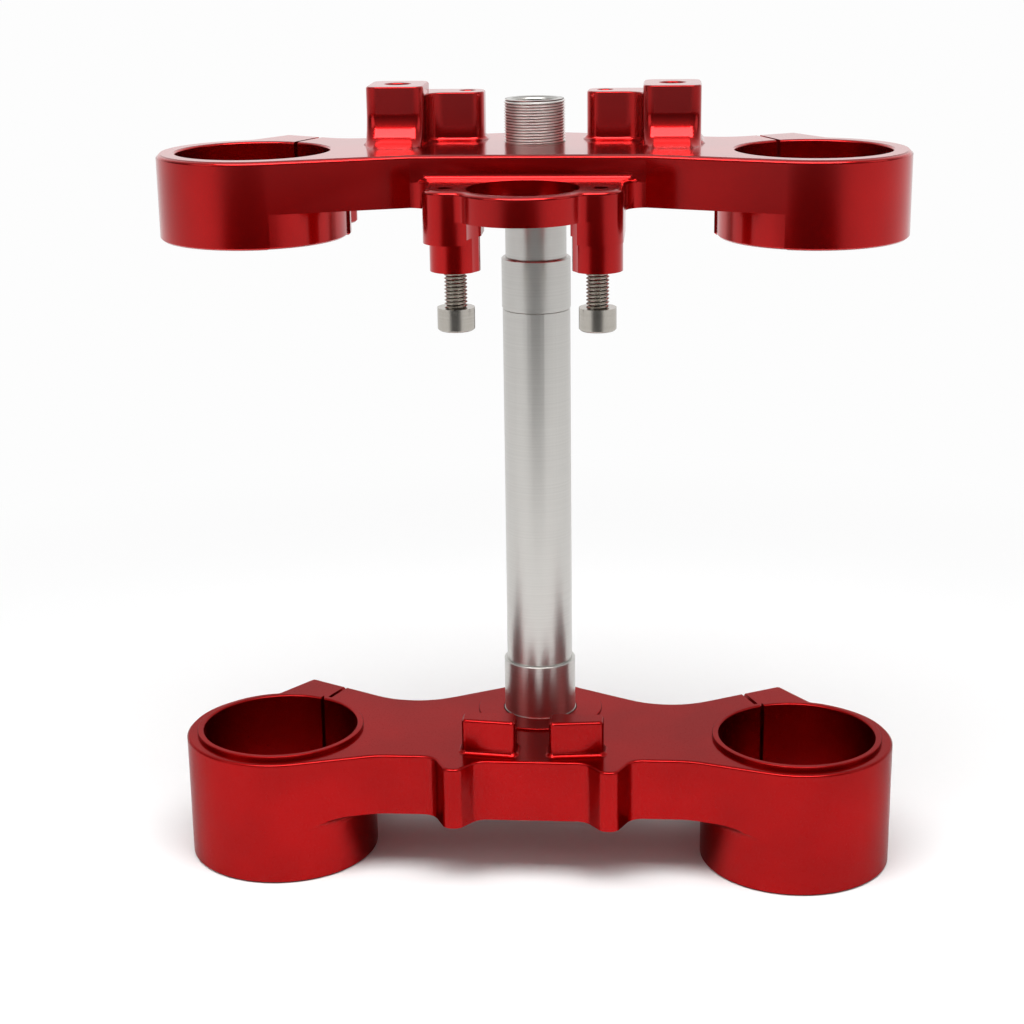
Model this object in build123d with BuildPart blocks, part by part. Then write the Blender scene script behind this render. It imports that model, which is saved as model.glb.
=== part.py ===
"""Motorcycle triple clamp: two billet fork clamps joined by a hollow steering stem.

Frame: the origin is on the stem axis, at the land that the lower bearing sits on.
+Z is up along the stem, +X to the right and +Y to the rear, so the forks, the lock
ring and the steering stops are on the -Y side. Lengths are in millimetres.
"""
import math
import os

from build123d import *

os.makedirs("parts", exist_ok=True)

# Fork and stem layout
fork_centres = 196.0  # from one fork tube's axis to the other's
fork_offset = 25.0  # fork axes ahead of the stem axis
clamp_rise = 218.5  # lower land up to the top face of the upper clamp

# Fork clamps: both sides of both clamps share the form of the split lug
slot_width = 1.6  # saw cut that lets a clamp close
slot_turn = 23.7  # cut's direction, in degrees from straight back towards the stem
lug_turn = 30.0  # rear edge of the lug, in degrees from straight across
lug_depth = 17.6  # lug's rear edge beyond the fork bore
lug_corner_inset = 4.0  # lug's corner, inboard of the fork axis
flank_turn = 77.0  # where the lug's flank meets the boss, in degrees round it
flank_blend = 5.0
corner_round = 2.0
edge_break = 0.8  # broken edges at the bottom and at bore mouths
weld = 1.0  # overlap where one block grows out of another
pick = 0.01  # tolerance for finding edges at a level

# Pinch bolts, M8 socket head cap screws
pinch_reach = 9.5  # bolt axis beyond the fork bore
pinch_grip = 9.0  # from the slot's middle to the seat of the head
pinch_length = 20.0
pinch_pair_spacing = 24.0  # the lower clamp has two bolts a side
tap_depth = 14.0  # tapped hole, from the slot's middle
tongue_depth = 17.0  # lug's inner end, from the slot's middle
tongue_round = 4.0
tongue_blend = 2.0
pocket_clearance = 0.5  # counterbore round a head
pocket_reach = 40.0  # counterbore's length, well past the lug
shank_clearance = 0.25  # clearance hole round a shank
thread_clearance = 0.05  # tapped wall round a shank

# Cap screws
thread_d = 8.0
pilot_d = 6.8
head_d = 13.0
head_height = 8.0
socket_flats = 6.0
socket_depth = 4.0
head_chamfer = 0.6

# Lower clamp
lower_bore_d = 58.0
lower_wall = 6.6
lower_height = 48.0
lower_plate = 23.5
stem_boss_r = 26.0
land_d = 48.0
land_height = 0.8
land_chamfer = 0.4
lip_width = 2.6  # raised rim round each fork bore
lip_height = 1.6
lip_chamfer = 0.4
valley_x = 50.0  # lowest stretch of the rear edge
valley_blend = 29.0
lower_panel_y = 53.0  # front panel ahead of the stem axis
arm_front_y = 49.5
arm_turn_x = 58.0  # where an arm's front starts to sweep out to its boss
arm_blend = 25.0
under_cove = 5.0
lower_edge_chamfer = 1.0
rib_x = 28.8
rib_reach = 8.2  # rib's tip beyond the front panel
rib_width = 5.2
rib_foot_in = 6.5  # each flank slopes out this far to its foot
rib_foot_out = 5.4
rib_nose_round = 3.8
rib_root_blend = 6.5

# Steering stops on the lower clamp
stop_gap = 12.4
stop_width = 20.0
stop_rear_y = 38.0
stop_front_outer_y = 46.2
stop_front_inner_y = 48.6
stop_height = 13.4
stop_round = 1.8
stop_foot = 1.6
stop_chamfer = 1.1

# Upper clamp
upper_bore_d = 54.0
upper_wall = 6.8
upper_height = 30.0
upper_plate = 18.0
upper_front_y = 41.0
front_panel_half = 40.5
upper_stem_boss_r = 30.0
upper_valley_x = 70.0
upper_valley_blend = 18.0
boss_relief = 0.8  # step milled into the lower half of each boss
upper_edge_chamfer = 1.4

# Handlebar towers on the upper clamp
tall_centres = 98.4
tall_width = 20.5
tall_depth = 25.0
tall_height = 20.5
tall_round = 4.2
tall_tap_d = 8.8
cove_r = 11.4
short_inner_x = 18.6
short_front_y = 1.5
short_depth = 14.6
short_height = 17.2
short_round = 5.0
short_blend = 7.0  # concave blend into the tall tower beside it
short_hole_x = 25.0
short_hole_inset = 8.6  # hole behind the short tower's front face
short_tap_d = 5.0
short_tap_depth = 20.0
tower_chamfer = 0.5
tower_foot = 1.6  # flare round the foot of each tower
tower_root = 3.0  # towers start this deep in the clamp, below its broken edge
tap_chamfer = 0.6

# Lock ring and its two posts, in front of the upper clamp
ledge_drop = 8.0
ring_y = 64.0
ring_bore_d = 38.0
ring_wall = 3.0
post_x = 24.4
post_y = 50.5
lobe_r = 9.2  # each lobe reaches from its post to the ring's middle
lobe_depth = 18.0
post_d = 17.4
post_length = 11.8
lobe_tap_x = 26.0  # small blind holes beside the ring
lobe_tap_d = 5.0
lobe_tap_depth = 12.0
bracket_root_blend = 7.5
ring_neck_blend = 5.0
bracket_chamfer = 1.4
ledge_cove = 1.8  # between the ledge and the clamp's front face
cove_inset = 1.7  # cove stops this far inside the ledge's outline
lock_relief = 0.5  # room round the lock's barrel below the ring
lock_screw_length = 25.0
lock_screw_drop = 12.8  # thread left showing below a post
lock_tap_depth = 16.0
lock_pilot_depth = 19.0

# Steering stem
thread_stem_d = 22.0
stem_stand = 15.2  # thread standing above the upper clamp
stem_top_d = 22.4
upper_seat_d = 25.4
upper_seat_length = 18.5
upper_seat_top = 176.8
stem_main_d = 25.0
lower_seat_d = 27.4
lower_press_d = 27.8  # length that is pressed into the lower clamp
lower_seat_top = 20.8
flange_d = 33.0
flange_thickness = 5.0
stem_bore_d = 14.8
stem_chamfer = 0.5
stem_mouth_chamfer = 1.2
stem_hole_clearance = 0.05  # upper clamp round the stem
press_clearance = 0.02  # lower clamp round the stem
flange_clearance = 0.2
stem_hole_chamfer = 0.6

# Levels
lower_top = -land_height
lower_plate_bottom = lower_top - lower_plate
lower_boss_bottom = lower_top - lower_height
upper_plate_bottom = clamp_rise - upper_plate
upper_boss_bottom = clamp_rise - upper_height
ledge_top = clamp_rise - ledge_drop
lobe_bottom = ledge_top - lobe_depth
post_bottom = lobe_bottom - post_length

# Where the ring's outer wall crosses a lobe's
ring_r = ring_bore_d / 2 + ring_wall
neck_x = (ring_r**2 - lobe_r**2 + post_x**2) / (2 * post_x)
neck_y = ring_y + math.sqrt(ring_r**2 - neck_x**2)

# Places of the forks
fork_x = fork_centres / 2
fork_y = -fork_offset
lower_bore_r = lower_bore_d / 2
upper_bore_r = upper_bore_d / 2
lower_boss_r = lower_bore_r + lower_wall
upper_boss_r = upper_bore_r + upper_wall


def turned(length, degrees):
    """Return the x and y of a length laid off at an angle."""
    angle = math.radians(degrees)
    return length * math.cos(angle), length * math.sin(angle)


def tangent_point(point, centre, radius, side):
    """Return where a line from a point touches a circle; side is +1 or -1."""
    dx, dy = point[0] - centre[0], point[1] - centre[1]
    apart = math.hypot(dx, dy)
    direction = math.atan2(dy, dx) + side * math.acos(radius / apart)
    return centre[0] + radius * math.cos(direction), centre[1] + radius * math.sin(direction)


def lug_point(bore_r, along):
    """Return a point on a right-hand lug's rear edge, so far along it."""
    out_x, out_y = turned(bore_r + lug_depth, 90 + lug_turn)
    along_x, along_y = turned(along, lug_turn)
    return fork_x + out_x + along_x, fork_y + out_y + along_y


def lug_point_at_x(bore_r, x):
    """Return the point on a right-hand lug's rear edge at a given x."""
    start_x = lug_point(bore_r, 0)[0]
    return lug_point(bore_r, (x - start_x) / math.cos(math.radians(lug_turn)))


def flank_point(boss_r):
    """Return where a right-hand lug's flank runs into its boss."""
    x, y = turned(boss_r, flank_turn)
    return fork_x + x, fork_y + y


def pinch_plane(bore_r, height, side):
    """Return the plane at the slot on a bolt's axis, its Z along the bolt to the head."""
    out_x, out_y = turned(bore_r + pinch_reach, 90 + slot_turn)
    axis_x, axis_y = turned(1, slot_turn)
    origin = (side * (fork_x + out_x), fork_y + out_y, height)
    return Plane(origin=origin, x_dir=(0, 0, 1), z_dir=(side * axis_x, axis_y, 0))


def nearest_vertex(sketch, point):
    """Return the corner of a sketch that lies nearest to a point."""
    return sketch.vertices().sort_by_distance((point[0], point[1], 0))[0]


def boss_plan(bore_r, boss_r):
    """Draw the right-hand boss with the lug behind it that the slot divides."""
    corner = lug_point_at_x(bore_r, fork_x - lug_corner_inset)
    flank = flank_point(boss_r)
    inner_x, inner_y = turned(-tongue_depth, slot_turn)
    out_x, out_y = turned(1, 90 + slot_turn)
    root_reach = math.sqrt(boss_r**2 - tongue_depth**2)
    end_reach = bore_r + lug_depth - tongue_depth * math.sin(math.radians(lug_turn - slot_turn))
    root = (fork_x + inner_x + out_x * root_reach, fork_y + inner_y + out_y * root_reach)
    end = (fork_x + inner_x + out_x * end_reach, fork_y + inner_y + out_y * end_reach)
    with BuildSketch() as boss:
        with Locations((fork_x, fork_y)):
            Circle(boss_r)
        with BuildLine():
            Polyline((fork_x, fork_y), flank, corner, end, root, close=True)
        make_face()
        for point, radius in (
            (end, tongue_round),
            (root, tongue_blend),
            (corner, corner_round),
            (flank, flank_blend),
        ):
            fillet(nearest_vertex(boss, point), radius)
    return boss.sketch


def lower_plan():
    """Draw the lower clamp from above, without its bores."""
    valley = lug_point_at_x(lower_bore_r, valley_x)
    corner = lug_point_at_x(lower_bore_r, fork_x - lug_corner_inset)
    stem_touch = tangent_point(valley, (0, 0), stem_boss_r, 1)
    arm_turn = (arm_turn_x, -arm_front_y)
    boss_touch = tangent_point(arm_turn, (fork_x, fork_y), lower_boss_r, 1)
    rib_foot_inner = (rib_x - rib_width / 2 - rib_foot_in, -lower_panel_y)
    rib_foot_outer = (rib_x + rib_width / 2 + rib_foot_out, -arm_front_y)
    rib_nose_inner = (rib_x - rib_width / 2, -lower_panel_y - rib_reach)
    rib_nose_outer = (rib_x + rib_width / 2, -lower_panel_y - rib_reach)
    with BuildSketch() as plan:
        with BuildLine():
            Polyline(
                (0, -lower_panel_y),
                rib_foot_inner,
                rib_nose_inner,
                rib_nose_outer,
                rib_foot_outer,
                arm_turn,
                boss_touch,
                (fork_x, fork_y),
                flank_point(lower_boss_r),
                corner,
                valley,
                stem_touch,
                (0, 0),
                close=True,
            )
        make_face()
        with Locations((fork_x, fork_y)):
            Circle(lower_boss_r)
        mirror(about=Plane.YZ)
        Circle(stem_boss_r)
        for side in (-1, 1):
            for point, radius in (
                (rib_nose_inner, rib_nose_round),
                (rib_nose_outer, rib_nose_round),
                (rib_foot_inner, rib_root_blend),
                (rib_foot_outer, rib_root_blend),
                (arm_turn, arm_blend),
                (corner, corner_round),
                (flank_point(lower_boss_r), flank_blend),
                (valley, valley_blend),
            ):
                fillet(nearest_vertex(plan, (side * point[0], point[1])), radius)
    return plan.sketch


def upper_plan():
    """Draw the upper clamp from above, without its bores and lock ring."""
    valley = lug_point_at_x(upper_bore_r, upper_valley_x)
    corner = lug_point_at_x(upper_bore_r, fork_x - lug_corner_inset)
    stem_touch = tangent_point(valley, (0, 0), upper_stem_boss_r, 1)
    arm_turn = (front_panel_half, -upper_front_y)
    boss_touch = tangent_point(arm_turn, (fork_x, fork_y), upper_boss_r, 1)
    with BuildSketch() as plan:
        with BuildLine():
            Polyline(
                (0, -upper_front_y),
                arm_turn,
                boss_touch,
                (fork_x, fork_y),
                flank_point(upper_boss_r),
                corner,
                valley,
                stem_touch,
                (0, 0),
                close=True,
            )
        make_face()
        with Locations((fork_x, fork_y)):
            Circle(upper_boss_r)
        mirror(about=Plane.YZ)
        Circle(upper_stem_boss_r)
        for side in (-1, 1):
            for point, radius in (
                (corner, corner_round),
                (flank_point(upper_boss_r), flank_blend),
                (valley, upper_valley_blend),
            ):
                fillet(nearest_vertex(plan, (side * point[0], point[1])), radius)
    return plan.sketch


def upper_boss_plan():
    """Draw the right-hand upper boss, stepped in at the front and on the inner side."""
    touch = tangent_point(
        (front_panel_half, -upper_front_y), (fork_x, fork_y), upper_boss_r, 1
    )
    with BuildSketch() as relief:
        with Locations((fork_x, fork_y)):
            Circle(upper_boss_r + boss_relief)
            Circle(upper_boss_r - boss_relief, mode=Mode.SUBTRACT)
        with BuildLine():
            Polyline(
                (fork_x, fork_y),
                touch,
                (touch[0], touch[1] - upper_boss_r),
                (0, fork_y - 2 * upper_boss_r),
                (0, fork_y),
                close=True,
            )
        make_face(mode=Mode.INTERSECT)
    with BuildSketch() as plan:
        add(boss_plan(upper_bore_r, upper_boss_r))
        add(relief.sketch, mode=Mode.SUBTRACT)
    return plan.sketch


def bracket_plan():
    """Draw the ledge ahead of the upper clamp: lock ring, lobes and swept-out roots."""
    flank_x = post_x + lobe_r
    root_y = bracket_root_blend - upper_front_y
    with BuildSketch() as plan:
        with Locations((0, -ring_y)):
            Circle(ring_bore_d / 2 + ring_wall)
        with Locations((-post_x, -ring_y), (post_x, -ring_y)):
            Circle(lobe_r)
        with Locations((0, -ring_y)):
            Rectangle(2 * flank_x, ring_y + root_y, align=(Align.CENTER, Align.MIN))
        with Locations((0, -upper_front_y)):
            Rectangle(
                2 * (flank_x + bracket_root_blend + weld),
                bracket_root_blend,
                align=(Align.CENTER, Align.MIN),
            )
        for side in (-1, 1):
            fillet(nearest_vertex(plan, (side * flank_x, -upper_front_y)), bracket_root_blend)
            fillet(nearest_vertex(plan, (side * neck_x, -neck_y)), ring_neck_blend)
    return plan.sketch


def ledge_cove_block():
    """Make the cove between the ledge's flat top and the upper clamp's front face."""
    half = post_x + lobe_r + bracket_root_blend
    front = -upper_front_y - ledge_cove
    rear = weld - upper_front_y
    with BuildPart(mode=Mode.PRIVATE) as cove:
        with BuildSketch(Plane.YZ.offset(-half)):
            with BuildLine():
                Polyline(
                    (front, ledge_top),
                    (rear, ledge_top),
                    (rear, ledge_top + ledge_cove),
                    (-upper_front_y, ledge_top + ledge_cove),
                )
                CenterArc((front, ledge_top + ledge_cove), ledge_cove, 0, -90)
            make_face()
        extrude(amount=2 * half)
        with BuildSketch(Plane.XY.offset(ledge_top)):
            add(bracket_plan())
            offset(amount=-cove_inset)
        extrude(amount=ledge_cove, mode=Mode.INTERSECT)
    return cove.part


def stop_plan(side):
    """Draw one steering stop; its front is turned a little, nearer the middle."""
    inner_x = side * stop_gap / 2
    outer_x = side * (stop_gap / 2 + stop_width)
    with BuildSketch() as plan:
        with BuildLine():
            Polyline(
                (inner_x, -stop_rear_y),
                (inner_x, -stop_front_inner_y),
                (outer_x, -stop_front_outer_y),
                (outer_x, -stop_rear_y),
                close=True,
            )
        make_face()
        fillet(plan.vertices(), stop_round)
    return plan.sketch


def tall_plan(side):
    """Draw one tall handlebar tower from above."""
    with BuildSketch() as plan:
        with Locations((side * tall_centres / 2, 0)):
            RectangleRounded(tall_width, tall_depth, tall_round)
    return plan.sketch


def short_plan(side):
    """Draw one short tower from above, swept into the side of the tall one."""
    tall_side = (tall_centres - tall_width) / 2
    outer_x = tall_side + tall_round / 2
    rear_y = short_front_y + short_depth
    strip_y = tall_round - tall_depth / 2
    with BuildSketch() as plan:
        with BuildLine():
            Polyline(
                (side * short_inner_x, short_front_y),
                (side * short_inner_x, rear_y),
                (side * outer_x, rear_y),
                (side * outer_x, strip_y),
                (side * tall_side, strip_y),
                (side * tall_side, short_front_y),
                close=True,
            )
        make_face()
        fillet(nearest_vertex(plan, (side * tall_side, short_front_y)), short_blend)
        for y in (short_front_y, rear_y):
            fillet(nearest_vertex(plan, (side * short_inner_x, y)), short_round)
    return plan.sketch


def stop_block(plan):
    """Stand one steering stop on the lower clamp and break its top edge."""
    with BuildPart(mode=Mode.PRIVATE) as block:
        with BuildSketch(Plane.XY.offset(lower_top)) as base:
            add(plan)
        extrude(base.sketch, amount=stop_height)
        chamfer(block.faces().sort_by(Axis.Z)[-1].edges(), stop_chamfer)
    return block.part


def tower_foot_block(plan):
    """Make the flared foot of a tower, which stays within the upper clamp's outline."""
    with BuildPart(mode=Mode.PRIVATE) as block:
        with BuildSketch(Plane.XY.offset(clamp_rise)) as base:
            add(plan)
            offset(amount=tower_foot)
        extrude(base.sketch, amount=tower_foot, taper=45)
        extrude(base.sketch, amount=-tower_root)
        with BuildSketch(Plane.XY.offset(clamp_rise - tower_root)):
            add(upper_plan())
        extrude(amount=tower_root + tower_foot, mode=Mode.INTERSECT)
    return block.part


def short_block(side):
    """Make one short tower."""
    with BuildPart(mode=Mode.PRIVATE) as block:
        with BuildSketch(Plane.XY.offset(clamp_rise - tower_root)) as base:
            add(short_plan(side))
        extrude(base.sketch, amount=tower_root + short_height)
        chamfer(block.faces().sort_by(Axis.Z)[-1].edges(), tower_chamfer)
    return block.part


def tall_block(side):
    """Make one tall tower, its front running down into a deep cove with rounded sides."""
    front = -tall_depth / 2
    top = clamp_rise + tall_height
    low = clamp_rise - 2 * tall_round
    left_x = side * tall_centres / 2 - tall_width / 2
    with BuildPart(mode=Mode.PRIVATE) as block:
        with BuildSketch(Plane.YZ.offset(left_x)):
            with BuildLine():
                Polyline(
                    (front - cove_r, clamp_rise),
                    (front - cove_r, low),
                    (-front, low),
                    (-front, top),
                    (front, top),
                    (front, clamp_rise + cove_r),
                )
                CenterArc((front - cove_r, clamp_rise + cove_r), cove_r, 0, -90)
            make_face()
        extrude(amount=tall_width)
        rear_edges = block.edges().filter_by(Axis.Z).group_by(Axis.Y)[-1]
        panel_edges = block.edges().filter_by(Axis.Z).filter_by_position(
            Axis.Y, front - pick, front + pick
        )
        cove_edges = block.edges().filter_by(GeomType.CIRCLE)
        fillet(rear_edges + panel_edges + cove_edges, tall_round)
        chamfer(block.faces().sort_by(Axis.Z)[-1].edges(), tower_chamfer)
    return block.part


def lower_half(plan, bottom, height):
    """Stand a plan up from a level and break its bottom edge."""
    with BuildPart(mode=Mode.PRIVATE) as block:
        with BuildSketch(Plane.XY.offset(bottom)) as base:
            add(plan)
        extrude(base.sketch, amount=height)
        chamfer(block.faces().sort_by(Axis.Z)[0].edges(), edge_break)
    return block.part


def under_arm_cove(place):
    """Make the cove under an arm of the lower clamp, where it runs into its boss."""
    inner = place[0] + lower_boss_r - weld
    wall = place[0] + lower_boss_r
    outer = place[0] + lower_boss_r + under_cove
    foot = lower_plate_bottom - under_cove
    with BuildPart(mode=Mode.PRIVATE) as cove:
        with BuildSketch(Plane.XZ.offset(-place[1])):
            with BuildLine():
                Polyline((inner, foot), (wall, foot))
                CenterArc((outer, foot), under_cove, 180, -90)
                Polyline(
                    (outer, lower_plate_bottom),
                    (outer, lower_plate_bottom + weld),
                    (inner, lower_plate_bottom + weld),
                    (inner, foot),
                )
            make_face()
        revolve(axis=Axis((place[0], place[1], 0), (0, 0, 1)))
        with BuildSketch(Plane.XY.offset(foot)):
            add(lower_plan())
        extrude(amount=under_cove + weld, mode=Mode.INTERSECT)
    return cove.part


def foot_edges(part, plans, level):
    """Return the edges at a level that lie on the outline of one of the plans."""
    return part.edges().filter_by_position(Axis.Z, level, level).filter_by(
        lambda edge: any(
            plan.distance_to(edge.center() - Vector(0, 0, level)) < pick for plan in plans
        )
    )


def outer_top_edges(part):
    """Return the edges round the highest flat face of a part."""
    return part.faces().filter_by(Plane.XY).sort_by(Axis.Z)[-1].outer_wire().edges()


def cut_disc(plane, radius, amount):
    """Cut a round hole from a plane, so far along the plane's normal."""
    with BuildSketch(plane) as disc:
        Circle(radius)
    extrude(disc.sketch, amount=amount, mode=Mode.SUBTRACT)


def cut_pinch_holes(bore_r, heights):
    """Cut each bolt's counterbore, clearance hole and tapped hole, on both sides."""
    for side in (-1, 1):
        for height in heights:
            seat = pinch_plane(bore_r, height, side)
            cut_disc(seat.offset(pinch_grip), head_d / 2 + pocket_clearance, pocket_reach)
            cut_disc(seat, thread_d / 2 + shank_clearance, pinch_grip)
            cut_disc(seat, thread_d / 2 + thread_clearance, -tap_depth)


def cut_slots(bore_r, bottom, top):
    """Saw each clamp open, from its bore out through its lug."""
    slot_length = bore_r + 2 * lug_depth
    for side in (-1, 1):
        place = Location((side * fork_x, fork_y, 0), (0, 0, 90 + side * slot_turn))
        with BuildSketch(Plane.XY.offset(bottom)) as slot:
            with Locations(place):
                Rectangle(slot_length, slot_width, align=(Align.MIN, Align.CENTER))
        extrude(slot.sketch, amount=top - bottom, mode=Mode.SUBTRACT)


def cut_round(radius, places, bottom, top):
    """Cut upright round holes at the given places, between two levels."""
    for place in places:
        cut_disc(Plane((place[0], place[1], bottom)), radius, top - bottom)


def chamfer_mouth(radius, place, level, depth, opens_up):
    """Break the mouth of a round hole with a cone."""
    direction = -1 if opens_up else 1
    with BuildSketch(Plane.XY.offset(level)) as mouth:
        with Locations(place):
            Circle(radius + depth)
    with BuildSketch(Plane.XY.offset(level + direction * depth)) as throat:
        with Locations(place):
            Circle(radius)
    loft([mouth.sketch, throat.sketch], mode=Mode.SUBTRACT)


fork_places = ((-fork_x, fork_y), (fork_x, fork_y))
lower_pinch_heights = (
    lower_top - (lower_height - pinch_pair_spacing) / 2,
    lower_top - (lower_height + pinch_pair_spacing) / 2,
)
upper_pinch_heights = (clamp_rise - upper_height / 2,)

# Lower clamp
lower_boss = lower_half(
    boss_plan(lower_bore_r, lower_boss_r), lower_boss_bottom, lower_height - lower_plate
)
left_under_cove = under_arm_cove(fork_places[0])
stop_plans = [stop_plan(side) for side in (-1, 1)]
stops = [stop_block(plan) for plan in stop_plans]
with BuildPart() as lower_clamp:
    with BuildSketch(Plane.XY.offset(lower_plate_bottom)):
        add(lower_plan())
    extrude(amount=lower_plate)
    chamfer(outer_top_edges(lower_clamp.part), lower_edge_chamfer)

    # Lower half of each boss with its lug, and the cove under each arm
    add(lower_boss)
    mirror(lower_boss, about=Plane.YZ)
    add(left_under_cove)
    mirror(left_under_cove, about=Plane.YZ)

    # Raised rims and the bearing land
    with BuildSketch(Plane.XY.offset(lower_top)):
        with Locations(*fork_places):
            Circle(lower_bore_r + lip_width)
    extrude(amount=lip_height)
    chamfer(lower_clamp.faces().sort_by(Axis.Z)[-2:].edges(), lip_chamfer)
    with BuildSketch(Plane.XY.offset(lower_top)):
        Circle(land_d / 2)
    extrude(amount=land_height)
    chamfer(
        lower_clamp.edges().filter_by(GeomType.CIRCLE).filter_by_position(Axis.Z, -pick, pick),
        land_chamfer,
    )

    # Steering stops
    for stop in stops:
        add(stop)
    chamfer(foot_edges(lower_clamp.part, stop_plans, lower_top), stop_foot)

    # Bores, slots and bolt holes
    cut_round(lower_bore_r, fork_places, lower_boss_bottom, lip_height)
    cut_round(
        lower_press_d / 2 + press_clearance,
        ((0, 0),),
        lower_plate_bottom,
        land_height,
    )
    cut_round(
        flange_d / 2 + flange_clearance,
        ((0, 0),),
        lower_plate_bottom,
        lower_plate_bottom + flange_thickness,
    )
    chamfer_mouth(lower_press_d / 2 + press_clearance, (0, 0), 0, stem_hole_chamfer, True)
    for place in fork_places:
        chamfer_mouth(lower_bore_r, place, lower_top + lip_height, edge_break, True)
        chamfer_mouth(lower_bore_r, place, lower_boss_bottom, edge_break, False)
    cut_slots(lower_bore_r, lower_boss_bottom, lip_height)
    cut_pinch_holes(lower_bore_r, lower_pinch_heights)

lower_clamp.part.label = "lower_clamp"
export_step(lower_clamp.part, "parts/lower_clamp.step")

# Upper clamp
upper_boss = lower_half(upper_boss_plan(), upper_boss_bottom, upper_height - upper_plate)
towers = []
for side in (-1, 1):
    towers.append(tower_foot_block(short_plan(side)))
    towers.append(tower_foot_block(tall_plan(side)))
    towers.append(short_block(side))
    towers.append(tall_block(side))

# Ledge ahead of the upper clamp, joined to it below
post_places = ((-post_x, -post_y), (post_x, -post_y))
cove_behind_ledge = ledge_cove_block()
with BuildPart() as bracket:
    with BuildSketch(Plane.XY.offset(upper_plate_bottom)):
        add(bracket_plan())
    extrude(amount=ledge_top - upper_plate_bottom)
    chamfer(
        bracket.edges()
        .filter_by_position(Axis.Z, ledge_top - pick, ledge_top + pick)
        .filter_by(lambda edge: edge.center().Y < -upper_front_y - pick),
        bracket_chamfer,
    )
    with BuildSketch(Plane.XY.offset(lobe_bottom)):
        for side in (-1, 1):
            with Locations((side * post_x, -ring_y)):
                Circle(lobe_r)
                Rectangle(2 * lobe_r, ring_y - upper_front_y + weld, align=(Align.CENTER, Align.MIN))
    extrude(amount=upper_plate_bottom + weld - lobe_bottom)
    with BuildSketch(Plane.XY.offset(post_bottom)):
        with Locations(*post_places):
            Circle(post_d / 2)
    extrude(amount=post_length + weld)

    add(cove_behind_ledge)
with BuildPart() as upper_clamp:
    with BuildSketch(Plane.XY.offset(upper_plate_bottom)):
        add(upper_plan())
    extrude(amount=upper_plate)
    chamfer(outer_top_edges(upper_clamp.part), upper_edge_chamfer)

    # Lower half of each boss with its lug
    add(upper_boss)
    mirror(upper_boss, about=Plane.YZ)

    # Handlebar towers
    for tower in towers:
        add(tower)

    # Ledge with the lock ring, lobes and posts
    add(bracket.part)

    # Bores, slots and bolt holes
    cut_round(upper_bore_r, fork_places, upper_boss_bottom, clamp_rise)
    cut_round(stem_top_d / 2 + stem_hole_clearance, ((0, 0),), upper_plate_bottom, clamp_rise)
    ring_place = (0, -ring_y)
    cut_round(ring_bore_d / 2, (ring_place,), upper_plate_bottom, ledge_top)
    cut_round(ring_bore_d / 2 + lock_relief, (ring_place,), post_bottom, upper_plate_bottom)
    cut_round(thread_d / 2 + thread_clearance, post_places, post_bottom, post_bottom + lock_tap_depth)
    cut_round(pilot_d / 2, post_places, post_bottom, post_bottom + lock_pilot_depth)
    lobe_tap_places = ((-lobe_tap_x, -ring_y), (lobe_tap_x, -ring_y))
    cut_round(lobe_tap_d / 2, lobe_tap_places, ledge_top - lobe_tap_depth, ledge_top)
    tall_places = ((-tall_centres / 2, 0), (tall_centres / 2, 0))
    cut_round(tall_tap_d / 2, tall_places, upper_plate_bottom, clamp_rise + tall_height)
    short_y = short_front_y + short_hole_inset
    short_places = ((-short_hole_x, short_y), (short_hole_x, short_y))
    short_top = clamp_rise + short_height
    cut_round(short_tap_d / 2, short_places, short_top - short_tap_depth, short_top)
    cut_slots(upper_bore_r, upper_boss_bottom, clamp_rise)
    cut_pinch_holes(upper_bore_r, upper_pinch_heights)
    for place in fork_places:
        chamfer_mouth(upper_bore_r, place, clamp_rise, edge_break, True)
        chamfer_mouth(upper_bore_r, place, upper_boss_bottom, edge_break, False)
    for place in tall_places:
        chamfer_mouth(tall_tap_d / 2, place, clamp_rise + tall_height, tap_chamfer, True)
    for place in short_places:
        chamfer_mouth(short_tap_d / 2, place, short_top, tap_chamfer, True)

upper_clamp.part.label = "upper_clamp"
export_step(upper_clamp.part, "parts/upper_clamp.step")

# Steering stem, turned from bar and bored through
stem_top = clamp_rise + stem_stand
flange_top = lower_plate_bottom + flange_thickness
upper_seat_bottom = upper_seat_top - upper_seat_length
with BuildPart() as steering_stem:
    with BuildSketch(Plane.XZ):
        with BuildLine():
            Polyline(
                (stem_bore_d / 2, lower_plate_bottom),
                (flange_d / 2 - stem_chamfer, lower_plate_bottom),
                (flange_d / 2, lower_plate_bottom + stem_chamfer),
                (flange_d / 2, flange_top),
                (lower_press_d / 2, flange_top),
                (lower_press_d / 2, 0),
                (lower_seat_d / 2, 0),
                (lower_seat_d / 2, lower_seat_top - stem_chamfer),
                (lower_seat_d / 2 - stem_chamfer, lower_seat_top),
                (stem_main_d / 2, lower_seat_top),
                (stem_main_d / 2, upper_seat_bottom),
                (upper_seat_d / 2, upper_seat_bottom),
                (upper_seat_d / 2, upper_seat_top - stem_chamfer),
                (upper_seat_d / 2 - stem_chamfer, upper_seat_top),
                (stem_top_d / 2, upper_seat_top),
                (stem_top_d / 2, clamp_rise),
                (thread_stem_d / 2, clamp_rise),
                (thread_stem_d / 2, stem_top - stem_chamfer),
                (thread_stem_d / 2 - stem_chamfer, stem_top),
                (stem_bore_d / 2 + stem_mouth_chamfer, stem_top),
                (stem_bore_d / 2, stem_top - stem_mouth_chamfer),
                close=True,
            )
        make_face()
    revolve(axis=Axis.Z)

steering_stem.part.label = "steering_stem"
export_step(steering_stem.part, "parts/steering_stem.step")


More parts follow.
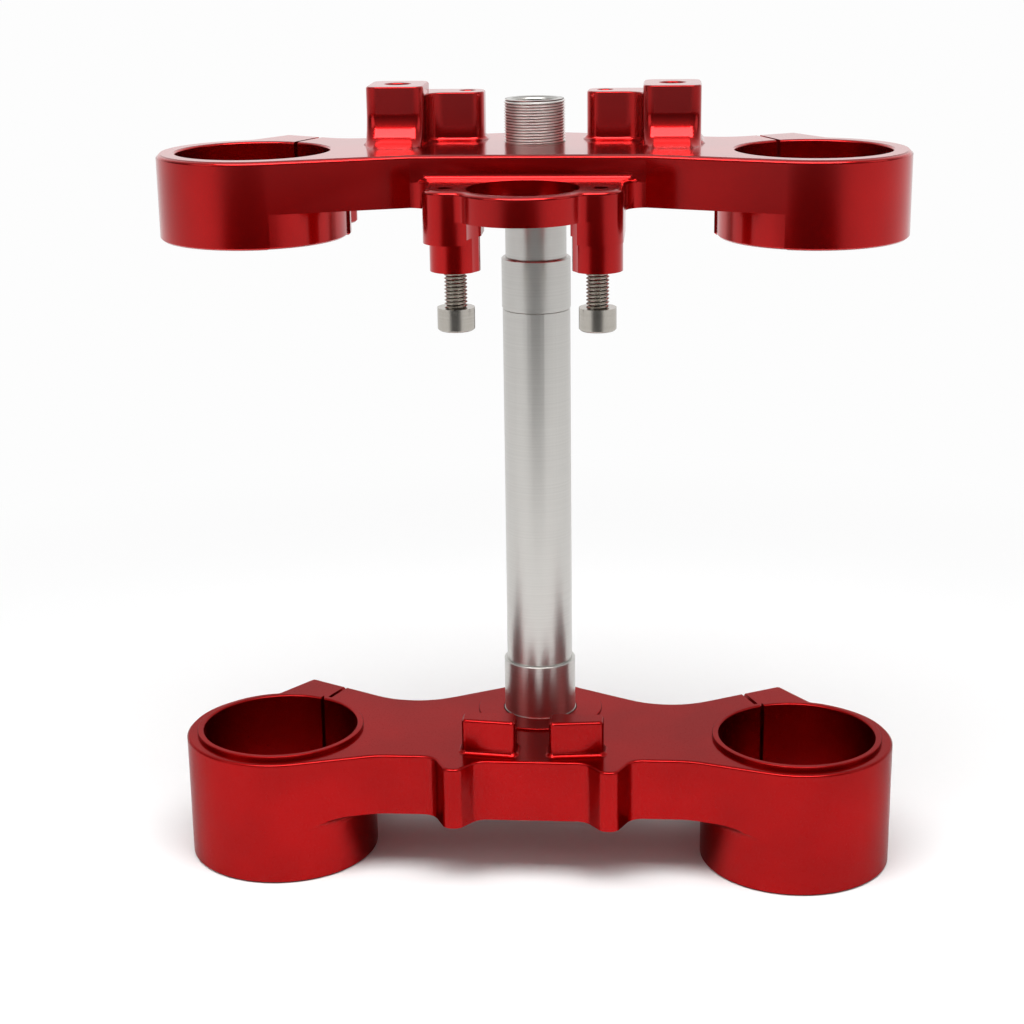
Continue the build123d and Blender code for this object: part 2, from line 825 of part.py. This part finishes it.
def cap_screw(seat, length):
    """Make an M8 cap screw; its head stands on the plane and its shank goes below."""
    along = Axis(seat.origin, seat.z_dir)
    with BuildPart() as screw:
        with BuildSketch(seat):
            Circle(head_d / 2)
        extrude(amount=head_height)
        chamfer(screw.faces().sort_by(along)[-1].edges(), head_chamfer)
        with BuildSketch(seat):
            Circle(thread_d / 2)
        extrude(amount=-length)
        with BuildSketch(seat.offset(head_height)):
            RegularPolygon(socket_flats / 2, 6, major_radius=False)
        extrude(amount=-socket_depth, mode=Mode.SUBTRACT)
    return screw.part


# Lock screws, half screwed into the posts from below
head_seat = post_bottom - lock_screw_drop
for side, name in ((-1, "lock_screw_left"), (1, "lock_screw_right")):
    seat = Plane(origin=(side * post_x, -post_y, head_seat), x_dir=(1, 0, 0), z_dir=(0, 0, -1))
    screw = cap_screw(seat, lock_screw_length)
    screw.label = name
    export_step(screw, "parts/" + name + ".step")

# Pinch bolts in the lugs
for side, side_name in ((-1, "left"), (1, "right")):
    for clamp_name, bore_r, heights in (
        ("lower", lower_bore_r, lower_pinch_heights),
        ("upper", upper_bore_r, upper_pinch_heights),
    ):
        for count, height in enumerate(heights, start=1):
            seat = pinch_plane(bore_r, height, side).offset(pinch_grip)
            bolt = cap_screw(seat, pinch_length)
            bolt.label = clamp_name + "_pinch_bolt_" + side_name
            if len(heights) > 1:
                bolt.label = bolt.label + "_" + str(count)
            export_step(bolt, "parts/" + bolt.label + ".step")
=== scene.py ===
# %% [markdown]
# # A motorcycle triple clamp
#
# Two billet clamps hold the fork legs, and a hollow stem joins them. The clamps are
# milled from aluminium and anodised red, the stem is left bare, and the screws are
# stainless steel. The CAD frame already has the shapes, so this script gives them
# smooth shading, real threads and finishes that read as those metals.

# %% Frame
from math import degrees, pi, radians

import bmesh
import bpy
from mathutils import Matrix, Vector


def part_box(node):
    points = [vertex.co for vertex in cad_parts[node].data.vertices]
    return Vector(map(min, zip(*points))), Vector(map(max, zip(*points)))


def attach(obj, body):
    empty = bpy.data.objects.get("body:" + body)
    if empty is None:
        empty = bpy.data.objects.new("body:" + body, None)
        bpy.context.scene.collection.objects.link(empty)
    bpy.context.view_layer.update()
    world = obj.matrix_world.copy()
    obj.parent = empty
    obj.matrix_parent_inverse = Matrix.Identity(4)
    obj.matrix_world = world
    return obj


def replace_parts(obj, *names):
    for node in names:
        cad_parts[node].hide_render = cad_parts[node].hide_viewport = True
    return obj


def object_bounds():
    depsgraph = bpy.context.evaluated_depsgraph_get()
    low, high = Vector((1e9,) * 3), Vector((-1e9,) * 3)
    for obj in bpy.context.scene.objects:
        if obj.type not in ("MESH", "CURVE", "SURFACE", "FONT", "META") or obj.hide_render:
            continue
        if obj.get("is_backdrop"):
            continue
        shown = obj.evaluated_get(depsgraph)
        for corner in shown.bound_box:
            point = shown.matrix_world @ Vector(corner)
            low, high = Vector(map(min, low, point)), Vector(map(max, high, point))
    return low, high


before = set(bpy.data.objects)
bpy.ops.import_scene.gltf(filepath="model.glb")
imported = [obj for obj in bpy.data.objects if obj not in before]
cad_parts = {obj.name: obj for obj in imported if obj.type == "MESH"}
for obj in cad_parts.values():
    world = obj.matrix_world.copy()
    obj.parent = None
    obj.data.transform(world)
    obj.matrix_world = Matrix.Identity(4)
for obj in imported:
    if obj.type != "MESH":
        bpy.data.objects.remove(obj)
cad_low, cad_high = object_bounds()
mm = 0.001
print("CAD box:", [round(v, 4) for v in (*cad_low, *cad_high)])

# %% [markdown]
# ## Colours and nodes
#
# A colour picked from a screen is in sRGB, but the shader works in linear light, so
# one function converts the hex value. A second small function adds a node, sets its
# values and links its inputs, which keeps each material short enough to read. The two
# nodes used most, a ramp from one level to another and a blend of two colours, get a
# short function each.


# %% Colour
def linear(hex_colour):
    """Turn an sRGB hex colour into linear RGBA."""
    channels = [int(hex_colour[i:i + 2], 16) / 255 for i in (1, 3, 5)]
    return [c / 12.92 if c <= 0.04045 else ((c + 0.055) / 1.055) ** 2.4 for c in channels] + [1]


print("middle grey in linear light:", round(linear("#808080")[0], 3))


# %% Nodes
def new_material(name):
    """Start a material with an empty node tree."""
    material = bpy.data.materials.new(name)
    material.use_nodes = True
    material.node_tree.nodes.clear()
    print("material", name)
    return material, material.node_tree


def add_node(tree, kind, settings=None, **inputs):
    """Add a node, set its own settings, and fill or link its inputs by name."""
    node = tree.nodes.new(kind)
    for key, value in (settings or {}).items():
        setattr(node, key, value)
    for key, value in inputs.items():
        name = key.replace("_", " ")
        socket = node.inputs[int(key[1:])] if key[1:].isdigit() else node.inputs[name]
        if isinstance(value, bpy.types.NodeSocket):
            tree.links.new(value, socket)
        else:
            socket.default_value = value
    return node


def ramp(tree, value, start, end, least=0.0, most=1.0, kind="LINEAR"):
    """Go from the least to the most while a value goes from start to end."""
    node = add_node(
        tree, "ShaderNodeMapRange", {"interpolation_type": kind},
        Value=value, From_Min=start, From_Max=end, To_Min=least, To_Max=most,
    )
    return node.outputs[0]


def blend(tree, share, first, second):
    """Mix two colours, of which the second has the given share."""
    node = add_node(tree, "ShaderNodeMix", {"data_type": "RGBA"}, _0=share, _6=first, _7=second)
    return node.outputs[2]


# %% [markdown]
# ## Camera
#
# The camera looks slightly down and from a little to the right, with a lens of about
# 72 mm, which is what a product photographer would use so that the far boss isn't
# much smaller than the near one. Its turn, tilt and roll are angles about its own
# axes, multiplied together in that order.

# %% Camera
camera_place = Vector((49.5, -740.7, 304.4)) * mm
camera_turn, camera_tilt, camera_roll = 4.6, -16.89, -0.78

camera_data = bpy.data.cameras.new("camera")
camera_data.sensor_width = 36
camera_data.lens = 71.8
camera = bpy.data.objects.new("camera", camera_data)
bpy.context.scene.collection.objects.link(camera)
camera.matrix_world = (
    Matrix.Translation(camera_place)
    @ Matrix.Rotation(radians(camera_turn), 4, "Z")
    @ Matrix.Rotation(radians(90 + camera_tilt), 4, "X")
    @ Matrix.Rotation(radians(camera_roll), 4, "Z")
)
bpy.context.scene.camera = camera
bpy.context.scene.view_settings.view_transform = "Standard"
print("camera", round(camera_place.length, 3), "m from the frame's origin")

# %% [markdown]
# ## Studio
#
# The part stands on a wide sheet of pale paper. The sheet keeps the part's soft shadow
# and fades to white further out, so that no horizon shows. Metal looks like metal only
# when it has light and dark to mirror. So the room in front is dim, a dark cloth lies
# on the paper under the camera, and a mirrored ray sees white only where it meets the
# backdrop or the open paper.

# %% Floor
floor_level = cad_low.z
floor_radius = 6.0

floor_shape = bmesh.new()
bmesh.ops.create_circle(floor_shape, cap_ends=True, segments=64, radius=floor_radius)
floor_mesh = bpy.data.meshes.new("studio_floor")
floor_shape.to_mesh(floor_mesh)
floor_shape.free()
floor_mesh.transform(Matrix.Translation((0, 0, floor_level)))
floor = bpy.data.objects.new("studio_floor", floor_mesh)
bpy.context.scene.collection.objects.link(floor)
print("floor at", round(floor_level, 4), "m with a radius of", floor_radius, "m")

# %% [markdown]
# Cycles tells a shader what kind of ray asks for a colour. The camera's own rays see
# white here. Mirrored rays see as much of that white as a given share says, and all
# other rays, such as those that light the part, see the real surface.


# %% What the camera and the mirrors see
def seen_share(tree, mirrored_share):
    """Return 1 for rays from the camera and a given share for mirrored rays."""
    path = add_node(tree, "ShaderNodeLightPath")
    mirrored = add_node(
        tree, "ShaderNodeMath", {"operation": "MAXIMUM"},
        _0=path.outputs["Is Glossy Ray"], _1=path.outputs["Is Transmission Ray"],
    )
    share = add_node(
        tree, "ShaderNodeMath", {"operation": "MULTIPLY"}, _0=mirrored.outputs[0], _1=mirrored_share
    )
    seen = add_node(
        tree, "ShaderNodeMath", {"operation": "MAXIMUM"},
        _0=path.outputs["Is Camera Ray"], _1=share.outputs[0],
    )
    return seen.outputs[0]


# %% [markdown]
# Under the part the paper is plain and matt. Two distances along it, one from the part
# and one from the middle of the cloth, say where the white sets in, for the camera and
# for the mirrors, and where the cloth ends. All of them are in metres.

# %% Paper and cloth
shadow_reach, white_reach = 0.18, 0.55
cloth_centre = (0, -1.5, floor_level)
cloth_radius, paper_radius = 0.62, 1.05
open_start, open_end, open_share = 0.75, 1.65, 0.75

floor_paper, tree = new_material("white_paper_floor")
where = add_node(tree, "ShaderNodeTexCoord")
from_part = add_node(
    tree, "ShaderNodeVectorMath", {"operation": "LENGTH"}, _0=where.outputs["Object"]
)
from_cloth = add_node(
    tree, "ShaderNodeVectorMath", {"operation": "DISTANCE"},
    _0=where.outputs["Object"], _1=cloth_centre,
)
fade = ramp(tree, from_part.outputs["Value"], shadow_reach, white_reach, kind="SMOOTHSTEP")
open_floor = ramp(
    tree, from_cloth.outputs["Value"], open_start, open_end, most=open_share, kind="SMOOTHSTEP"
)
cloth_edge = ramp(
    tree, from_cloth.outputs["Value"], cloth_radius, paper_radius, kind="SMOOTHSTEP"
)
paper_colour = blend(tree, cloth_edge, linear("#262626"), linear("#f4f4f4"))
paper = add_node(tree, "ShaderNodeBsdfDiffuse", Color=paper_colour)
white = add_node(tree, "ShaderNodeEmission", Color=linear("#fdfdfd"), Strength=1.0)
white_share = add_node(
    tree, "ShaderNodeMath", {"operation": "MULTIPLY"}, _0=seen_share(tree, open_floor), _1=fade
)
mixed = add_node(
    tree, "ShaderNodeMixShader", _0=white_share.outputs[0], _1=paper.outputs[0], _2=white.outputs[0]
)
add_node(tree, "ShaderNodeOutputMaterial", Surface=mixed.outputs[0])
floor_mesh.materials.append(floor_paper)
floor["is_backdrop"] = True

# %% [markdown]
# The world is the rest of the room. It gets brighter towards the ceiling, and behind
# the part it is the white backdrop, which the camera sees everywhere.

# %% World
world = bpy.data.worlds.new("studio")
bpy.context.scene.world = world
world.use_nodes = True
tree = world.node_tree
tree.nodes.clear()
direction = add_node(tree, "ShaderNodeTexCoord")
split = add_node(tree, "ShaderNodeSeparateXYZ", Vector=direction.outputs["Generated"])
room = ramp(tree, split.outputs["Z"], 0.0, 0.9, least=0.10, most=0.55, kind="SMOOTHSTEP")
backdrop = ramp(tree, split.outputs["Y"], 0.1, 0.8, kind="SMOOTHSTEP")
sky = add_node(tree, "ShaderNodeBackground", Color=linear("#ffffff"), Strength=room)
white = add_node(tree, "ShaderNodeBackground", Color=linear("#fdfdfd"), Strength=1.0)
mixed = add_node(
    tree, "ShaderNodeMixShader", _0=seen_share(tree, backdrop), _1=sky.outputs[0], _2=white.outputs[0]
)
add_node(tree, "ShaderNodeOutputWorld", Surface=mixed.outputs[0])
print("world nodes", len(tree.nodes))

# %% [markdown]
# ## Lamps
#
# A wide softbox hangs above and a little in front. It lights the tops and draws the
# bright lines along the broken edges. A smaller one on each side gives the bosses and
# the stem their light bands. All three point at the middle of the part, and they are
# weak enough that a colour renders about as it is written.

# %% Lamps
lamp_aim = Vector((0, 0, 0.1))


def softbox(name, place, size, power):
    """Hang a softbox and point it at the part; places and sizes are in metres."""
    lamp = bpy.data.lights.new(name, "AREA")
    lamp.shape = "RECTANGLE"
    lamp.size, lamp.size_y = size
    lamp.energy = power
    holder = bpy.data.objects.new(name, lamp)
    bpy.context.scene.collection.objects.link(holder)
    turn = (lamp_aim - Vector(place)).to_track_quat("-Z", "Y")
    holder.matrix_world = Matrix.Translation(place) @ turn.to_matrix().to_4x4()
    print(name, power, "W")


softbox("top_softbox", place=(0.0, -0.35, 1.05), size=(1.1, 0.6), power=14)
softbox("left_softbox", place=(-1.3, -0.9, 0.7), size=(0.8, 0.8), power=2)
softbox("right_softbox", place=(1.5, -0.3, 0.7), size=(0.8, 0.8), power=1.5)

# %% [markdown]
# ## Red anodised aluminium
#
# Anodising grows a clear, dyed oxide skin on the metal. The light goes through the
# skin and comes back red from the metal, so the base colour is a deep red at full
# metallic, and a thin coat gives the skin's own white gloss at low angles. The dye is
# never quite even, so a large soft noise blends two reds, and a fine noise makes the
# etched grain. The upper clamp is polished before it is dyed. The lower one is blasted,
# so it is rougher and its top looks dull.

# %% Red anodised aluminium
dye_patch = 45 * mm


def anodised(name, dye, deep_dye, edge_tint, roughness, coat, grain_mm, grain_depth_mm):
    """Make a dyed, anodised finish with a fine etched grain and an uneven dye."""
    material, tree = new_material(name)
    where = add_node(tree, "ShaderNodeTexCoord").outputs["Object"]
    cloud = add_node(tree, "ShaderNodeTexNoise", Vector=where, Scale=1 / dye_patch, Detail=3.0)
    dye_share = ramp(tree, cloud.outputs["Fac"], 0.35, 0.65)
    colour = blend(tree, dye_share, linear(dye), linear(deep_dye))
    grain = add_node(
        tree, "ShaderNodeTexNoise", Vector=where, Scale=1 / (grain_mm * mm), Detail=1.0
    )
    rough = ramp(
        tree, grain.outputs["Fac"], 0.3, 0.7, least=roughness * 0.9, most=roughness * 1.15
    )
    bump = add_node(
        tree, "ShaderNodeBump",
        Height=grain.outputs["Fac"], Strength=0.25, Distance=grain_depth_mm * mm,
    )
    skin = add_node(
        tree, "ShaderNodeBsdfPrincipled",
        Base_Color=colour, Metallic=1.0, Roughness=rough, Normal=bump.outputs[0],
        Specular_Tint=linear(edge_tint), Coat_Weight=coat, Coat_Roughness=0.12, Coat_IOR=1.35,
    )
    add_node(tree, "ShaderNodeOutputMaterial", Surface=skin.outputs[0])
    return material


gloss_red = anodised(
    "gloss_anodised_aluminium", dye="#be0809", deep_dye="#a80506", edge_tint="#fff0f0",
    roughness=0.22, coat=0.75, grain_mm=0.5, grain_depth_mm=0.004,
)
satin_red = anodised(
    "satin_anodised_aluminium", dye="#a6090b", deep_dye="#940708", edge_tint="#c09898",
    roughness=0.3, coat=0.35, grain_mm=0.4, grain_depth_mm=0.005,
)

# %% [markdown]
# ## Bare turned aluminium and stainless steel
#
# The stem and the screws are turned, which leaves fine rings round them. A noise that
# is stretched sideways until it hardly changes across a piece gives such rings. The
# screws are stainless steel, a little darker and warmer than aluminium. The stem's
# thread gets a lighter copy of the stem's aluminium, which paints a highlight on it.
# The roots of the threads get painted shade, a dark colour where a value on the mesh
# marks them deep.

# %% Bare metals
ring_depth = 0.003 * mm
ring_stretch = (0.005, 0.005, 1.0)


def bare_metal(name, colour, dull_colour, roughness, ring_mm):
    """Make a bare metal with fine turned rings, one above the other."""
    material, tree = new_material(name)
    where = add_node(tree, "ShaderNodeTexCoord").outputs["Object"]
    stretch = add_node(tree, "ShaderNodeMapping", Vector=where, Scale=ring_stretch)
    rings = add_node(
        tree, "ShaderNodeTexNoise",
        Vector=stretch.outputs[0], Scale=1 / (ring_mm * mm), Detail=3.0,
    )
    tone = ramp(tree, rings.outputs["Fac"], 0.3, 0.7)
    shade = blend(tree, tone, linear(colour), linear(dull_colour))
    rough = ramp(
        tree, rings.outputs["Fac"], 0.3, 0.7, least=roughness * 0.96, most=roughness * 1.04
    )
    bump = add_node(
        tree, "ShaderNodeBump", Height=rings.outputs["Fac"], Strength=0.2, Distance=ring_depth
    )
    # Painted shade: points deep in a thread's groove are darkened towards #4c4641.
    groove = add_node(tree, "ShaderNodeAttribute", {"attribute_name": "groove"})
    root_shade_share = ramp(tree, groove.outputs["Fac"], 0.65, 1.0, kind="SMOOTHSTEP")
    root_shaded_colour = blend(tree, root_shade_share, shade, linear("#4c4641"))
    skin = add_node(
        tree, "ShaderNodeBsdfPrincipled",
        Base_Color=root_shaded_colour, Metallic=1.0, Roughness=rough, Normal=bump.outputs[0],
    )
    add_node(tree, "ShaderNodeOutputMaterial", Surface=skin.outputs[0])
    return material


stem_alloy = bare_metal("turned_aluminium", "#cbc9c5", "#c3c1bd", roughness=0.3, ring_mm=0.6)
# Painted highlight: the stem's thread gets a lighter copy of the stem's aluminium, so it reads
# brighter than the stem.
thread_alloy_painted_lighter = bare_metal("aluminium_painted_lighter", "#efedea", "#e6e4e0", roughness=0.36, ring_mm=0.6)
stainless = bare_metal("stainless_steel", "#bcb7af", "#b5b0a8", roughness=0.2, ring_mm=0.5)

# %% [markdown]
# ## Smooth shading
#
# The CAD meshes are loose triangles, which would show every facet in a gloss finish.
# The shading is smooth inside a round wall, whose facets meet at under 15 degrees, and
# across a broken edge, whose two bends are near 45 degrees. Any other bend is a real
# corner and stays sharp. Each corner's normal is an average of the faces round it, in
# which a wide face counts for much more than a narrow one, so that flats stay flat. A
# narrow slanting face is a broken edge. It counts for almost nothing, so it takes its
# direction from the top on one side and from the wall on the other, as a round does.

# %% Smooth shading
round_and_broken_bends = ((0, 15), (40, 50))
thread_bends = ((0, 30),)
widest_broken_edge = 3 * mm
broken_edge_share = 1e-6


def fan_of(vertex, start, smooth_bends):
    """Return the faces round a vertex that join a first face across smooth edges."""
    fan = [start]
    for face in fan:
        for edge in face.edges:
            if vertex in edge.verts and len(edge.link_faces) == 2:
                bend = degrees(edge.calc_face_angle())
                if any(least <= bend < most for least, most in smooth_bends):
                    fan.extend(other for other in edge.link_faces if other not in fan)
    return fan


def face_share(face):
    """Say how much a face counts, from its width and from whether it is a broken edge."""
    width = face.calc_area() / max(edge.calc_length() for edge in face.edges)
    slanting = 0.6 < abs(face.normal.z) < 0.8
    broken_edge = width < widest_broken_edge and slanting
    return (width / mm) ** 3 * (broken_edge_share if broken_edge else 1)


def smooth_shade(shape, mesh, smooth_bends):
    """Write a shape to a mesh with one normal for each corner of each face."""
    shape.normal_update()
    share = {face: face_share(face) for face in shape.faces}
    directions = []
    for face in shape.faces:
        for corner in face.loops:
            fan = fan_of(corner.vert, face, smooth_bends)
            total = Vector((0, 0, 0))
            for other in corner.vert.link_loops:
                if other.face in fan:
                    total += other.face.normal * (other.calc_angle() * share[other.face])
            directions.append(total.normalized() if total.length else face.normal.copy())
    shape.to_mesh(mesh)
    mesh.shade_smooth()
    mesh.normals_split_custom_set(directions)


# %% [markdown]
# ## The two clamps
#
# Each clamp is a copy of its CAD node. The triangles' doubles are merged, and the flat
# areas are made whole again, before the copy is shaded. A copy stands for its node in
# the picture, where the node itself is hidden.

# %% Pieces and copies
merge_distance = 0.004 * mm
flat_bend = 0.3
collapse_distance = 0.001 * mm


def link_piece(name, mesh, material):
    """Put a mesh in the scene as a piece that rides on the part."""
    piece = bpy.data.objects.new(name, mesh)
    bpy.context.scene.collection.objects.link(piece)
    mesh.materials.clear()
    mesh.materials.append(material)
    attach(piece, "root")
    print(name, "faces", len(mesh.polygons))
    return piece


def machined_copy(node, name, material, shape_changes=()):
    """Copy a CAD node as one merged, smoothly shaded piece that stands for it."""
    shape = bmesh.new()
    shape.from_mesh(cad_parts[node].data)
    bmesh.ops.remove_doubles(shape, verts=shape.verts, dist=merge_distance)
    for shape_change in shape_changes:
        shape_change(shape)
    bmesh.ops.dissolve_limit(
        shape, angle_limit=radians(flat_bend), verts=shape.verts, edges=shape.edges
    )
    mesh = bpy.data.meshes.new(name)
    smooth_shade(shape, mesh, round_and_broken_bends)
    shape.free()
    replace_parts(link_piece(name, mesh, material), node)


machined_copy("upper_clamp", "upper_clamp_skin", gloss_red)
machined_copy("lower_clamp", "lower_clamp_skin", satin_red)

# %% [markdown]
# ## Winding a thread
#
# A thread is a ridge that climbs one pitch for each turn. A zigzag profile with one
# tooth for each turn is spun once round the axis while it climbs one pitch, so the
# end of each tooth meets the start of the next. Depths and crests are in pitches.

# %% Winding a thread
tooth_depth = 0.61
core_depth = 0.1
crest_start, crest_end = 0.44, 0.56
spin_steps = 96
seam_distance = 0.002 * mm


def wound_teeth(root_r, major_r, pitch, bottom, top):
    """Spin a zigzag of teeth once round the Z axis while it climbs one pitch."""
    shape = bmesh.new()
    level = bottom - 2 * pitch
    corners = []
    while level < top + pitch:
        for rise, radius in ((0.0, root_r), (crest_start, major_r), (crest_end, major_r)):
            corners.append(shape.verts.new((radius, 0, level + rise * pitch)))
        level += pitch
    edges = [shape.edges.new(pair) for pair in zip(corners, corners[1:])]
    bmesh.ops.spin(
        shape, geom=corners + edges, cent=(0, 0, 0), axis=(0, 0, 1),
        dvec=(0, 0, pitch / spin_steps), angle=2 * pi, steps=spin_steps, use_merge=False,
    )
    bmesh.ops.remove_doubles(shape, verts=shape.verts, dist=seam_distance)
    return shape


# %% [markdown]
# Both ends are then cut flat. The top crest may be broken, so that a nut starts on it
# easily, and the open ends are turned in to the core.


# %% Finishing a thread's ends
def cut_ends(shape, bottom, top):
    """Cut a shape flat at both ends."""
    for end, direction in ((bottom, -1), (top, 1)):
        bmesh.ops.bisect_plane(
            shape, geom=shape.verts[:] + shape.edges[:] + shape.faces[:],
            plane_co=(0, 0, end), plane_no=(0, 0, direction), clear_outer=True,
        )


def break_top(shape, top, edge_r):
    """Press a shape inside a 45 degree cone whose radius at the top is given."""
    for vertex in shape.verts:
        radius = vertex.co.xy.length
        limit = edge_r + max(0.0, top - vertex.co.z)
        if radius > limit:
            vertex.co.xy *= limit / radius


def close_ends(shape, core_r):
    """Turn the open ends in to the core and point the faces outwards."""
    rim = [edge for edge in shape.edges if edge.is_boundary]
    for part in bmesh.ops.extrude_edge_only(shape, edges=rim)["geom"]:
        if isinstance(part, bmesh.types.BMVert):
            part.co.xy *= core_r / part.co.xy.length
    bmesh.ops.dissolve_degenerate(shape, edges=shape.edges, dist=collapse_distance)
    bmesh.ops.recalc_face_normals(shape, faces=shape.faces)
    outermost = max(shape.faces, key=lambda face: face.calc_center_median().xy.length)
    if outermost.normal.xy.dot(outermost.calc_center_median().xy) < 0:
        bmesh.ops.reverse_faces(shape, faces=shape.faces)


# %% [markdown]
# Last comes a value for each point that says how deep in the groove it lies, which the
# bare metal reads to paint shade into the roots.


# %% Threads
def mark_grooves(mesh, axis, root_r, major_r):
    """Store how deep each point lies between the crest, 0, and the root, 1."""
    groove = mesh.attributes.new("groove", "FLOAT", "POINT")
    for vertex in mesh.vertices:
        depth = (major_r - (vertex.co.xy - Vector(axis)).length) / (major_r - root_r)
        groove.data[vertex.index].value = min(1.0, max(0.0, depth))


def thread(name, axis, bottom, top, major_r, pitch, material, chamfer=0.0):
    """Wind an outside thread round an upright axis; lengths are in metres."""
    root_r = major_r - tooth_depth * pitch
    shape = wound_teeth(root_r, major_r, pitch, bottom, top)
    cut_ends(shape, bottom, top)
    if chamfer:
        break_top(shape, top, major_r - chamfer)
    close_ends(shape, root_r - core_depth * pitch)
    bmesh.ops.translate(shape, verts=shape.verts, vec=(*axis, 0))
    mesh = bpy.data.meshes.new(name)
    smooth_shade(shape, mesh, thread_bends)
    shape.free()
    mark_grooves(mesh, axis, root_r, major_r)
    link_piece(name, mesh, material)
    print(name, "turns", round((top - bottom) / pitch, 1))


# %% [markdown]
# ## Turning a shaft down
#
# In the CAD a threaded shaft is a plain cylinder as wide as the thread, which would
# hide the grooves. A lathe would turn it down. Here the shaft's wall is cut across at
# both ends of the stretch, and the points between are moved in towards the axis. The
# same cut makes the fine relief under the stem's upper bearing seat.

# %% Turning a shaft down
shoulder = 0.2 * mm


def turn_down(axis, old_r, new_r, low, high, slack):
    """Return a change that turns a shaft down to a smaller radius between two levels."""
    def change(shape):
        for level in (low, low + shoulder, high - shoulder, high):
            bmesh.ops.bisect_plane(
                shape, geom=shape.verts[:] + shape.edges[:] + shape.faces[:],
                plane_co=(0, 0, level), plane_no=(0, 0, 1),
            )
        for vertex in shape.verts:
            offset = vertex.co.xy - Vector(axis)
            between = low + shoulder / 2 < vertex.co.z < high - shoulder / 2
            if between and abs(offset.length - old_r) < slack:
                vertex.co.xy = Vector(axis) + offset * (new_r / offset.length)
        bmesh.ops.dissolve_degenerate(shape, edges=shape.edges, dist=collapse_distance)
    return change


# %% [markdown]
# ## Steering stem
#
# The stem is turned from bar and bored through. An M22 fine thread, one millimetre to
# the turn, stands out of the upper clamp for the stem's nut, and its top is chamfered
# so that the nut starts easily.

# %% Steering stem
stem_axis = (0, 0)
stem_thread_r, stem_core_r, stem_pitch = 11 * mm, 10.25 * mm, 1 * mm
seat_r, relief_r = 12.5 * mm, 12.2 * mm
clamp_top = 218.5 * mm
seat_bottom = 158.3 * mm
stem_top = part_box("steering_stem")[1].z

thread_core = turn_down(
    stem_axis, stem_thread_r, stem_core_r, clamp_top, stem_top + 1 * mm, slack=0.6 * mm
)
seat_relief = turn_down(
    stem_axis, seat_r, relief_r, seat_bottom - 0.8 * mm, seat_bottom + 0.2 * mm, slack=0.1 * mm
)
machined_copy(
    "steering_stem", "steering_stem_skin", stem_alloy, (thread_core, seat_relief)
)
# The thread wears the lighter aluminium, which paints a highlight on it.
thread(
    "stem_thread", stem_axis, clamp_top, stem_top, stem_thread_r, stem_pitch,
    thread_alloy_painted_lighter, chamfer=0.5 * mm,
)

# %% [markdown]
# ## Lock screws
#
# Two M8 socket head screws hang half screwed into the posts beside the lock ring. Each
# thread starts at the head and ends a little way up inside its post, where it can't be
# seen. Its crests are a hair lower than the shank in the CAD.

# %% Lock screws
head_height = 8 * mm
screw_r, screw_core_r, screw_pitch = 4 * mm, 3.1 * mm, 1.25 * mm
screw_thread_r = 3.98 * mm
post_bottom, hidden_thread = 180.7 * mm, 1.5 * mm

for side in ("left", "right"):
    low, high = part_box("lock_screw_" + side)
    screw_axis = ((low.x + high.x) / 2, (low.y + high.y) / 2)
    head_top = low.z + head_height
    shank = turn_down(
        screw_axis, screw_r, screw_core_r, head_top, high.z + 1 * mm, slack=0.6 * mm
    )
    machined_copy(
        "lock_screw_" + side, "lock_screw_skin_" + side, stainless, (shank,)
    )
    thread(
        "lock_screw_thread_" + side, screw_axis, head_top, post_bottom + hidden_thread,
        screw_thread_r, screw_pitch, stainless,
    )

# %% [markdown]
# ## Pinch bolts
#
# The bolts that close the fork bosses sit in the rear lugs, two a side in the lower
# clamp and one a side in the upper one. Hardly more than their heads shows, so they
# need no thread.

# %% Pinch bolts
for node in sorted(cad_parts):
    if "pinch_bolt" in node:
        machined_copy(node, node + "_skin", stainless)

# %% [markdown]
# ## Finish
#
# The box of all that is shown is printed, as the CAD box was at the start.

# %% Finish
low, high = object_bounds()
print("visual box:", [round(v, 4) for v in (*low, *high)])
